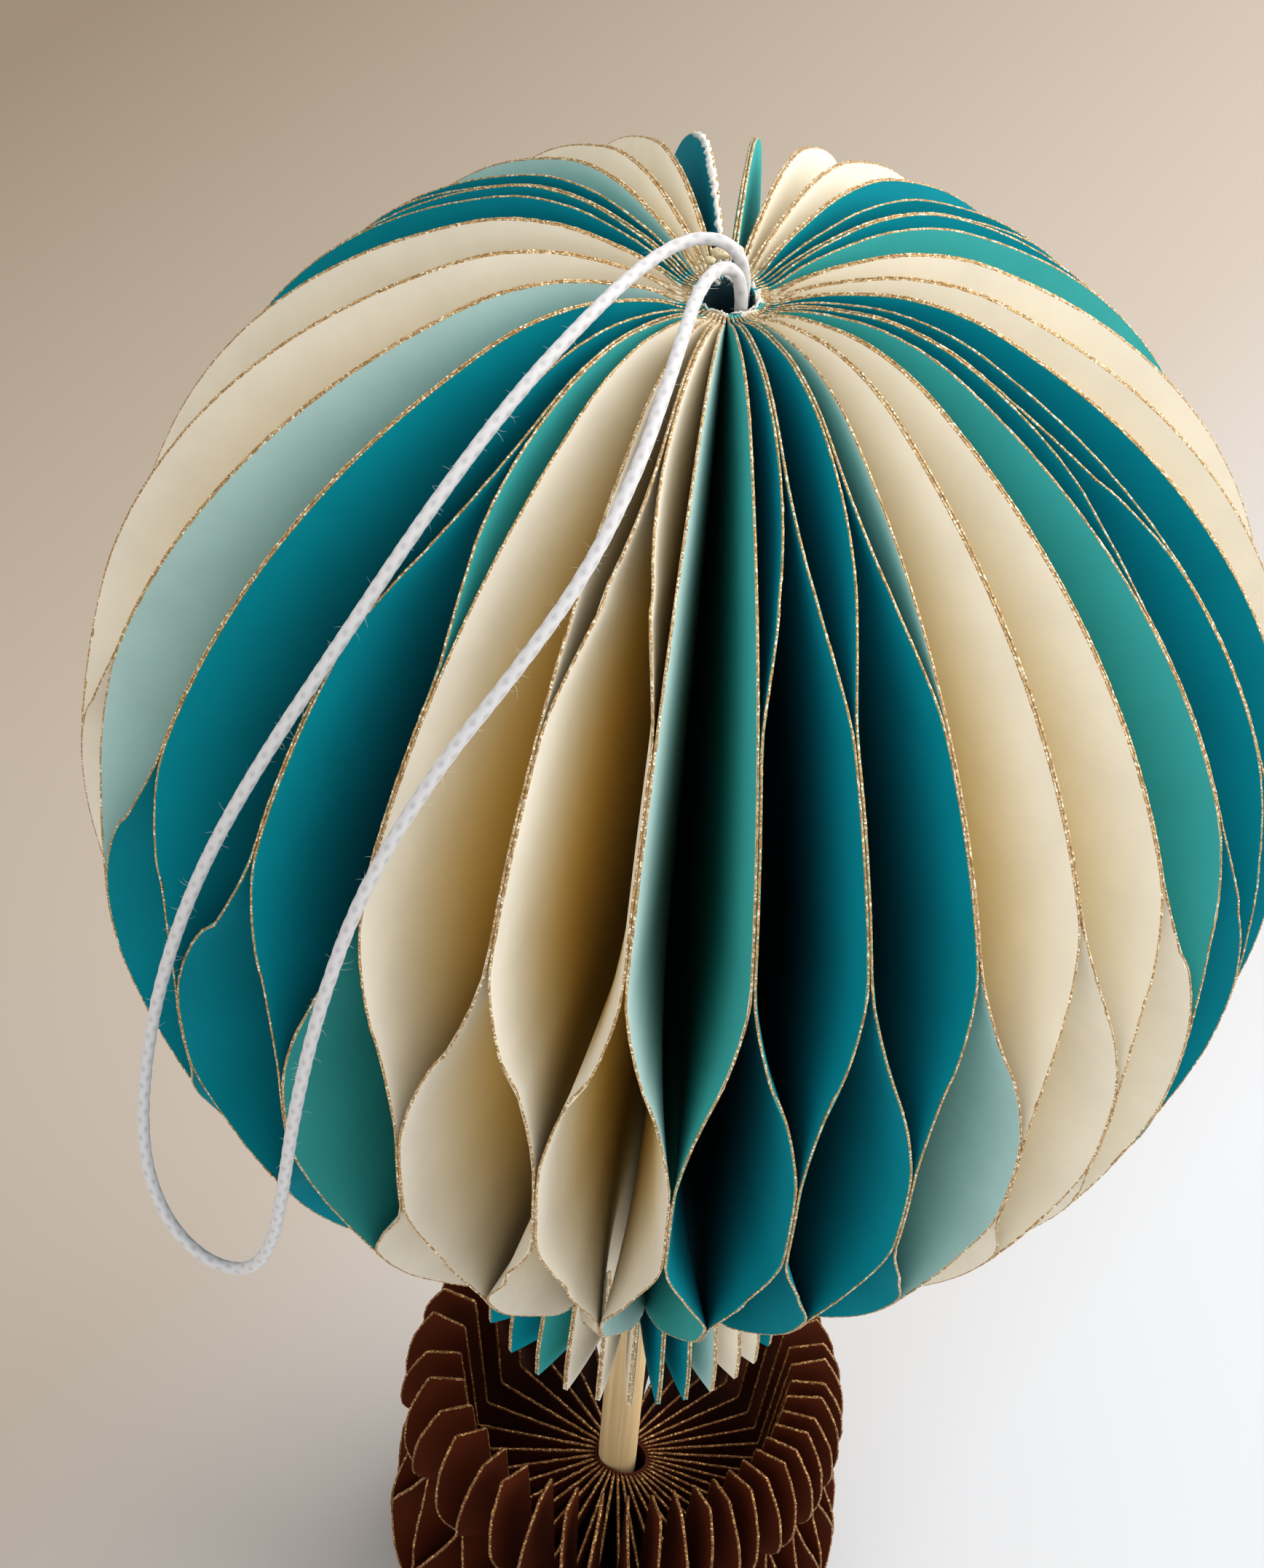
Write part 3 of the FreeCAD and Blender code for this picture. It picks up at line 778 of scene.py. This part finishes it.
def torn_sleeve(name, text, core, top):
    """Teal card that turns into its white torn core near the height `top`."""
    material, tree = new_material(name)
    place = add(tree, "ShaderNodeTexCoord").outputs["Object"]
    height = add(tree, "ShaderNodeSeparateXYZ", {"Vector": place}).outputs["Z"]
    fibre, relief = fibres(tree, place, 1600.0, 4.0, 0.5, 0.2 * MM)
    ragged = add(tree, "ShaderNodeMath", {0: fibre.outputs["Fac"], 1: 2.4 * MM}, operation="MULTIPLY")
    lifted = add(tree, "ShaderNodeMath", {0: height, 1: ragged.outputs[0]}, operation="ADD")
    bare = add(
        tree, "ShaderNodeMapRange",
        {"Value": lifted.outputs[0], "From Min": top + 0.75 * MM, "From Max": top + 1.1 * MM},
    )
    tone = ramp(tree, bare.outputs["Result"], 0.0, 1.0, linear(text), linear(core))
    finish_surface(tree, {"Base Color": tone, "Roughness": 0.9, "Normal": relief})
    return material


def dried_glue(name, text):
    """Hot-melt glue, set: yellowish, half clear and smooth, with flecks of glitter caught in it."""
    material, tree = new_material(name)
    place = add(tree, "ShaderNodeTexCoord").outputs["Object"]
    fleck = add(tree, "ShaderNodeTexVoronoi", {"Vector": place, "Scale": 2600.0})
    tone = ramp(tree, fleck.outputs["Distance"], 0.12, 0.2, linear("#8A5A1E"), linear(text))
    finish_surface(tree, {"Base Color": tone, "Roughness": 0.25, "Coat Weight": 0.4})
    return material


# Operators, one for each group of pieces


def carried(piece, slot, *nodes):
    """The piece belongs to the ornament and stands for the nodes, if any; `slot` is not used."""
    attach(piece, "root")
    if nodes:
        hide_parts(*nodes)


class BALLOON_OT_envelope(bpy.types.Operator):
    """Builds the ball's folded cards"""

    bl_idname = "balloon.envelope"
    bl_label = "Envelope Cards"

    def execute(self, context):
        settings = context.scene.balloon_envelope
        ring = envelope_ring(context)
        ball = (MOUTH_HEIGHT + settings.mouth_drop, settings.ball_radius)
        # Each card darkens to its painted fold shade inwards from the ball's radius
        faces = {
            "cream": coloured_card("cream_card", settings.cream, settings.cream_painted_fold_shade, *ball),
            "sage": coloured_card("sage_card", settings.sage, settings.sage_painted_fold_shade, *ball),
            "green_teal": coloured_card(
                "green_teal_card", settings.green_teal, settings.green_teal_painted_fold_shade, *ball,
            ),
            "teal": coloured_card("deep_teal_card", settings.teal, settings.teal_painted_fold_shade, *ball),
        }
        cores = {
            "cream": cut_card_edge("cream_card_edge", settings.cream),
            "teal": cut_card_edge("teal_card_edge", settings.green_teal),
        }
        counts = {"cream": 0, "sage": 0, "teal": 0}
        card = FIRST_CREAM_CARD
        while card < settings.cards + FIRST_CREAM_CARD:
            for tone, size in CARD_GROUPS:
                counts[tone] += 1
                pieces = [envelope_card(ring, card + i, settings) for i in range(size)]
                first, second, core = faces[tone], faces[tone], cores.get(tone)
                if tone == "sage":
                    # The leaf beside the cream cards is sage, the one beside the teal cards green-teal
                    cream_first = counts[tone] % 2 == 1
                    first = faces["sage" if cream_first else "green_teal"]
                    second = faces["green_teal" if cream_first else "sage"]
                    core = cores["cream"]
                for piece in pieces:
                    for index, material in enumerate((first, second, core, core)):
                        piece.data.materials[index] = material
                node = "envelope_%s_%02d" % (tone, counts[tone])
                piece = joined(pieces, node + "_cards")
                carried(piece, tone + "_paper", node)
                card += size
        return {"FINISHED"}


class BALLOON_OT_envelope_glitter(bpy.types.Operator):
    """Runs gold glitter along the edges of the ball's leaves"""

    bl_idname = "balloon.envelope_glitter"
    bl_label = "Envelope Glitter"

    def execute(self, context):
        settings = context.scene.balloon_envelope
        ring = envelope_ring(context)
        # The third colour is a painted glint, the fourth the flakes' darker tone
        gold = glitter_flakes("gold_glitter", settings.glitter, "#FFF6DA", "#9A7440")
        top = MOUTH_HEIGHT + settings.mouth_drop + settings.crown_rise
        per_piece = 10
        for group in range(settings.cards // per_piece):
            beads = []
            for wall in range(group * per_piece, (group + 1) * per_piece):
                line = envelope_line(settings, wall, GLITTER_POINTS)
                inner = max(ring.start(wall), ring.start(wall - 1)) + 0.2 * MM
                line = np.vstack([line, (inner, top, 0.0)])
                if wall == TORN_WALL:
                    self.torn_edge(ring, wall, line[-TORN_POINTS:], context.scene.balloon_trim)
                    line = line[:-TORN_POINTS]
                beads.append(glitter_bead(ring, wall, line, settings.glitter_radius, GLITTER_STEP))
            piece = joined(beads, "envelope_glitter_%d" % (group + 1))
            piece.data.materials.append(gold)
            carried(piece, "cream_paper")
        return {"FINISHED"}

    def torn_edge(self, ring, wall, line, trim):
        """White paper core where the leaf was pulled off its neighbour."""
        piece = glitter_bead(ring, wall, line, radius=0.3 * MM, step=0.35 * MM, rough=0.75)
        piece.name = "torn_leaf_edge"
        piece.data.materials.append(torn_paper("torn_leaf_core", trim.torn))
        carried(piece, "teal_paper")


class BALLOON_OT_basket(bpy.types.Operator):
    """Builds the basket's folded cards with their glitter edges"""

    bl_idname = "balloon.basket"
    bl_label = "Basket"

    def execute(self, context):
        settings = context.scene.balloon_basket
        ring = basket_ring(context)
        # The brown darkens to a painted fold shade inwards from the upper bulge
        brown = coloured_card(
            "brown_card", settings.brown, settings.brown_painted_fold_shade, settings.notch_height,
            settings.upper_radius, specular=0.08,
        )
        core = cut_card_edge("brown_card_edge", settings.brown)
        for index in range(settings.cards // 2):
            pieces = [basket_card(ring, 2 * index + i, settings) for i in range(2)]
            for piece in pieces:
                for place, material in enumerate((brown, brown, core, core)):
                    piece.data.materials[place] = material
            node = "basket_%02d" % (index + 1)
            carried(joined(pieces, node + "_cards"), "brown_paper", node)
        self.glitter(ring, settings)
        return {"FINISHED"}

    def glitter(self, ring, settings):
        """Copper glitter round each wall: floor, recess, rim, both bulges."""
        # The third colour is a painted glint, the fourth the flakes' darker tone
        copper = glitter_flakes("copper_glitter", settings.glitter, "#EFC07A", "#5A3416")
        floor_points = 20
        edge_points = 30
        line_step = 0.4 * MM
        lower, upper, recess = basket_edges(settings, edge_points)
        beads = []
        for wall in range(ring.cards):
            inner = max(ring.start(wall), ring.start(wall - 1)) + 0.3 * MM
            floor = np.linspace(inner, settings.recess_floor, floor_points)
            floor = np.column_stack([floor, np.full(floor_points, settings.floor_height)])
            edge = np.concatenate([floor[:-1], recess, upper[::-1], lower[::-1][1:]])
            lean = basket_lean(wall, edge[:, 1], settings)
            lean[:floor_points - 1 + edge_points] = 0.0
            line = evenly_spaced(np.column_stack([edge, lean]), line_step)
            beads.append(glitter_bead(ring, wall, line, settings.glitter_radius, GLITTER_STEP))
        piece = joined(beads, "basket_glitter")
        piece.data.materials.append(copper)
        carried(piece, "brown_paper")


class BALLOON_OT_stick(bpy.types.Operator):
    """Finishes the stick in bare wood"""

    bl_idname = "balloon.stick"
    bl_label = "Stick"

    def execute(self, context):
        trim = context.scene.balloon_trim
        wood = turned_wood("birch_dowel", trim.wood)
        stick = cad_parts["stick"]
        stick.data.materials.clear()
        stick.data.materials.append(wood)
        return {"FINISHED"}


class BALLOON_OT_crown(bpy.types.Operator):
    """Builds the torn paper and the dried glue round the crown hole"""

    bl_idname = "balloon.crown"
    bl_label = "Crown"

    def execute(self, context):
        envelope = context.scene.balloon_envelope
        trim = context.scene.balloon_trim
        top = MOUTH_HEIGHT + envelope.mouth_drop + envelope.crown_rise
        self.torn_rim(envelope, trim, top)
        self.glue(trim, top)
        return {"FINISHED"}

    def torn_rim(self, envelope, trim, top):
        """A teal paper sleeve in the hole, in the teal's painted fold shade for the shade inside the hole,
        torn off unevenly so that its white core shows.
        """
        rng = np.random.default_rng(52)
        sides = 90
        angles = np.linspace(0, 2 * math.pi, sides + 1)
        inside = trim.stick_radius + trim.stick_clearance
        ragged = np.convolve(np.tile(rng.uniform(-1, 1, sides), 3), np.ones(3) / 3, "same")[sides:2 * sides]
        rows = []
        # Height above the hole's edge in millimetres, radius as a share of the hole's, raggedness
        stations = (
            (-14.0, 0.93, 0.0), (-8.0, 0.93, 0.0), (-3.0, 0.93, 0.0), (-1.6, 0.94, 0.1),
            (-0.9, 0.98, 0.4), (-0.3, 1.06, 0.9), (0.1, 1.16, 1.5),
        )
        for rise, radius, raggedness in stations:
            reach = inside * (radius + 0.03 * raggedness * rng.uniform(-1, 1, sides))
            height = top + (rise + 0.5 * raggedness * ragged) * MM
            reach = np.append(reach, reach[0])
            height = np.append(height, height[0])
            rows.append(np.stack([reach * np.cos(angles), reach * np.sin(angles), height], axis=1))
        points = np.array(rows)
        points[:, -1] = points[:, 0]
        piece, _, _ = shaped_grid("crown_sleeve", points)
        close_tube(piece)
        apply_modifier(piece, "SOLIDIFY", thickness=0.12 * MM, offset=0)
        # The sleeve is painted with the teal's fold shade: painted shade inside the hole
        piece.data.materials.append(torn_sleeve("torn_teal_sleeve", envelope.teal_painted_fold_shade, trim.torn, top))
        carried(piece, "teal_paper")

    def glue(self, trim, top):
        """Three set drops of glue behind the hole."""
        drops = []
        # Place and radius in millimetres, with the height above the hole's edge
        for x, y, z, size in ((-0.9, 4.2, 1.7, 0.75), (0.5, 4.6, 2.0, 0.5), (-1.8, 3.4, 1.4, 0.45)):
            deselect()
            middle = Vector((x * MM, y * MM, top + z * MM))
            bpy.ops.mesh.primitive_ico_sphere_add(subdivisions=3, radius=size * MM, location=middle)
            drop = bpy.context.active_object
            bpy.ops.object.transform_apply(location=True, rotation=True, scale=True)
            for vertex in drop.data.vertices:
                out = vertex.co - middle
                swell = 1 + 0.35 * noise.noise(out * 1400 + Vector((x, y, z)))
                vertex.co = middle + Vector((out.x * 1.2, out.y, out.z * 0.7)) * swell
            drop.data.shade_smooth()
            drops.append(drop)
        piece = joined(drops, "crown_glue")
        piece.data.materials.append(dried_glue("dried_glue", trim.glue))
        carried(piece, "cream_paper")


class BALLOON_OT_cord(bpy.types.Operator):
    """Builds the braided hanging cord and its loose fibres"""

    bl_idname = "balloon.cord"
    bl_label = "Hanging Cord"

    def execute(self, context):
        trim = context.scene.balloon_trim
        spread = trim.end_spread
        route = [(spread, spread, KNOT_TOP)]
        route += [tuple(v * MM for v in point) for point in CORD_ROUTE]
        route.append((spread, -spread, KNOT_TOP))
        line = evenly_spaced(self.guide(route), CORD_STEP)
        cord = self.braid(line, trim.cord_diameter / 2)
        cord.data.materials.append(braided_cotton("braided_cotton", trim.cotton))
        carried(cord, "cotton_cord", "hanging_cord")
        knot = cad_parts["cord_knot"]
        knot.data.materials.clear()
        knot.data.materials.append(loose_fibre("knotted_cotton", trim.cotton))
        self.fuzz(line, trim)
        return {"FINISHED"}

    def guide(self, route):
        """The smooth line through the route, read from a curve with no bevel."""
        curve = bpy.data.curves.new("cord_guide", "CURVE")
        curve.dimensions = "3D"
        curve.resolution_u = 24
        spline = curve.splines.new("NURBS")
        spline.points.add(len(route) - 1)
        for point, place in zip(spline.points, route):
            point.co = (*place, 1.0)
        spline.order_u = 3
        spline.use_endpoint_u = True
        guide = bpy.data.objects.new("cord_guide", curve)
        bpy.context.collection.objects.link(guide)
        bpy.context.view_layer.update()
        mesh = bpy.data.meshes.new_from_object(guide)
        line = np.array([vertex.co[:] for vertex in mesh.vertices])
        bpy.data.objects.remove(guide)
        bpy.data.curves.remove(curve)
        bpy.data.meshes.remove(mesh)
        return line

    def braid(self, line, radius):
        """A tube whose surface rises and falls with the strands that cross on it."""
        across, upward = frames_along(line)
        sides = 16
        angles = np.linspace(0, 2 * math.pi, sides + 1)[None, :]
        along = CORD_STEP * np.arange(len(line))[:, None]
        turn = 2 * math.pi * along / BRAID_PITCH
        left = np.cos(STRANDS_EACH_WAY * angles + turn)
        right = np.cos(STRANDS_EACH_WAY * angles - turn)
        strand = np.clip(0.5 + 0.5 * np.maximum(left, right) * 1.1, 0, 1)
        strand[:, -1] = strand[:, 0]
        radii = radius * (0.86 + 0.08 * strand)
        piece = rolled_tube("hanging_cord_braid", line, across, upward, radii, sides, strand)
        bpy.ops.object.mode_set(mode="EDIT")
        bpy.ops.mesh.select_all(action="DESELECT")
        bpy.ops.mesh.select_non_manifold()
        bpy.ops.mesh.fill_holes(sides=0)
        bpy.ops.object.mode_set(mode="OBJECT")
        return piece

    def fuzz(self, line, trim):
        """Fine fibres that stand off the cord, each a thin three-sided sliver."""
        rng = random.Random(77)
        across, upward = frames_along(line)
        thickness = 0.014 * MM
        hidden = 60
        vertices = []
        faces = []
        for _ in range(trim.fuzz):
            place = rng.randrange(hidden, len(line) - hidden)
            turn = rng.uniform(0, 2 * math.pi)
            out = Vector(across[place] * math.cos(turn) + upward[place] * math.sin(turn))
            ahead = Vector(line[place + 1] - line[place]).normalized()
            root = Vector(line[place]) + out * trim.cord_diameter * 0.45
            lean = ahead * rng.uniform(-0.9, 0.9)
            reach = rng.uniform(0.25, 1.0) * MM
            curl = out.cross(ahead) * rng.uniform(-0.6, 0.6)
            start = len(vertices)
            side_a = out.orthogonal().normalized() * thickness
            side_b = out.cross(side_a).normalized() * thickness
            for step in (0.0, 0.35, 0.7, 1.0):
                spot = root + (out * step + lean * step * step + curl * step * step * 0.6) * reach
                taper = 1 - 0.7 * step
                vertices += [spot + side_a * taper, spot + (side_b - side_a) * taper, spot - side_b * taper]
            for ring in range(3):
                for corner in range(3):
                    a = start + 3 * ring + corner
                    b = start + 3 * ring + (corner + 1) % 3
                    faces.append((a, b, b + 3, a + 3))
            faces.append((start + 2, start + 1, start))
            faces.append((start + 9, start + 10, start + 11))
        mesh = bpy.data.meshes.new("hanging_cord_fibres")
        mesh.from_pydata(vertices, [], faces)
        piece = bpy.data.objects.new("hanging_cord_fibres", mesh)
        bpy.context.collection.objects.link(piece)
        piece.data.materials.append(loose_fibre("cotton_fibre", trim.cotton))
        carried(piece, "cotton_cord")


def frames_along(line):
    """Two directions across a line at each point, turning no more than the line does."""
    ahead = np.gradient(line, axis=0)
    ahead /= np.linalg.norm(ahead, axis=1)[:, None]
    across = np.empty_like(line)
    side = Vector(ahead[0]).orthogonal().normalized()
    before = Vector(ahead[0])
    for index, direction in enumerate(ahead):
        now = Vector(direction)
        side = before.rotation_difference(now) @ side
        side = (side - now * side.dot(now)).normalized()
        across[index] = side
        before = now
    return across, np.cross(ahead, across)


class BALLOON_OT_stage(bpy.types.Operator):
    """Sets the floor, the light and the camera"""

    bl_idname = "balloon.stage"
    bl_label = "Stage"

    # The floor's painted shade changes along a line turned this far, between these two places in metres,
    # with the middle tone at this share of the way
    shade_turn = math.radians(31)
    shade_start = -0.32
    shade_end = 0.07
    shade_middle = 0.62

    def execute(self, context):
        settings = context.scene.balloon_stage
        envelope = context.scene.balloon_envelope
        centre = Vector((0, 0, MOUTH_HEIGHT + envelope.mouth_drop))
        self.floor(settings)
        self.lights(centre)
        self.camera(context, settings, centre)
        context.scene.view_settings.view_transform = "Standard"
        return {"FINISHED"}

    def floor(self, settings):
        """A wide pale floor with painted shade, which turns it darker behind and to the left."""
        deselect()
        bpy.ops.mesh.primitive_plane_add(size=6)
        floor = bpy.context.active_object
        floor.name = "floor"
        material, tree = new_material("pale_floor")
        place = add(tree, "ShaderNodeTexCoord").outputs["Object"]
        turned = add(
            tree, "ShaderNodeMapping",
            {"Vector": place, "Rotation": (0, 0, self.shade_turn)},
        )
        across = add(tree, "ShaderNodeSeparateXYZ", {"Vector": turned.outputs["Vector"]}).outputs["X"]
        tone = add(
            tree, "ShaderNodeMapRange",
            {"Value": across, "From Min": self.shade_start, "From Max": self.shade_end},
        )
        # Painted shade: the floor darkens from its lit side to its shaded side along the turned line
        left = ramp(
            tree, tone.outputs["Result"], 0.0, self.shade_middle,
            linear(settings.floor_painted_shade_side), linear(settings.floor_painted_half_shade),
        )
        right = ramp(tree, tone.outputs["Result"], self.shade_middle, 0.9, (0, 0, 0, 1), (1, 1, 1, 1))
        shaded = add(
            tree, "ShaderNodeMix", {"Factor": right, "A": left, "B": linear(settings.floor_painted_lit_side)},
            data_type="RGBA",
        )
        finish_surface(tree, {
            "Base Color": shaded.outputs["Result"], "Roughness": 0.9, "Specular IOR Level": 0.1,
        })
        floor.data.materials.append(material)

    def lights(self, centre):
        """A wide soft light high on the right, a weaker one in front on the left and a pale sky."""
        for name, place, size, power, tint in (
            ("key_light", (0.9, 0.25, 0.75), 2.0, 27.0, "#FFFCF8"),
            ("front_light", (-0.6, -0.9, 0.0), 1.2, 3.5, "#FFFAF2"),
        ):
            light = bpy.data.lights.new(name, "AREA")
            light.shape = "DISK"
            light.size = size
            light.energy = power
            light.color = linear(tint)[:3]
            lamp = bpy.data.objects.new(name, light)
            lamp.location = centre + Vector(place)
            lamp.rotation_euler = (centre - lamp.location).to_track_quat("-Z", "Y").to_euler()
            bpy.context.collection.objects.link(lamp)
        world = bpy.data.worlds.new("studio")
        world.use_nodes = True
        background = world.node_tree.nodes["Background"]
        background.inputs["Color"].default_value = linear("#F5F5F4")
        background.inputs["Strength"].default_value = 0.8
        bpy.context.scene.world = world

    def camera(self, context, settings, centre):
        """The camera looks down at the crown."""
        camera = bpy.data.cameras.new("camera")
        camera.sensor_fit = "VERTICAL"
        camera.angle = settings.field_of_view
        camera.clip_start = 0.01
        viewer = bpy.data.objects.new("camera", camera)
        away = Vector((0, -math.cos(settings.elevation), math.sin(settings.elevation)))
        viewer.location = centre + away * settings.camera_distance
        aim = centre + Vector(settings.aim)
        look = (aim - viewer.location).to_track_quat("-Z", "Y")
        viewer.rotation_mode = "QUATERNION"
        viewer.rotation_quaternion = look @ Quaternion((0, 0, 1), settings.roll)
        bpy.context.collection.objects.link(viewer)
        context.scene.camera = viewer


OPERATORS = (
    BALLOON_OT_envelope,
    BALLOON_OT_envelope_glitter,
    BALLOON_OT_basket,
    BALLOON_OT_stick,
    BALLOON_OT_crown,
    BALLOON_OT_cord,
    BALLOON_OT_stage,
)


class BALLOON_PT_panel(bpy.types.Panel):
    """Lists the balloon's pieces and settings"""

    bl_label = "Paper Balloon"
    bl_idname = "BALLOON_PT_panel"
    bl_space_type = "VIEW_3D"
    bl_region_type = "UI"
    bl_category = "Balloon"

    def draw(self, context):
        layout = self.layout
        for group in ("balloon_envelope", "balloon_basket", "balloon_trim", "balloon_stage"):
            settings = getattr(context.scene, group)
            box = layout.box()
            for name in settings.__annotations__:
                box.prop(settings, name)
        for operator in OPERATORS:
            layout.operator(operator.bl_idname)


SETTINGS = (
    ("balloon_envelope", BalloonEnvelopeSettings),
    ("balloon_basket", BalloonBasketSettings),
    ("balloon_trim", BalloonTrimSettings),
    ("balloon_stage", BalloonStageSettings),
)


def register():
    for name, group in SETTINGS:
        bpy.utils.register_class(group)
        setattr(bpy.types.Scene, name, PointerProperty(type=group))
    for operator in OPERATORS:
        bpy.utils.register_class(operator)
    bpy.utils.register_class(BALLOON_PT_panel)


def unregister():
    bpy.utils.unregister_class(BALLOON_PT_panel)
    for operator in reversed(OPERATORS):
        bpy.utils.unregister_class(operator)
    for name, group in reversed(SETTINGS):
        delattr(bpy.types.Scene, name)
        bpy.utils.unregister_class(group)


def main():
    register()
    bpy.ops.balloon.stage()
    bpy.ops.balloon.cord()
    bpy.ops.balloon.envelope()
    bpy.ops.balloon.envelope_glitter()
    bpy.ops.balloon.basket()
    bpy.ops.balloon.stick()
    bpy.ops.balloon.crown()


if __name__ == "__main__":
    main()
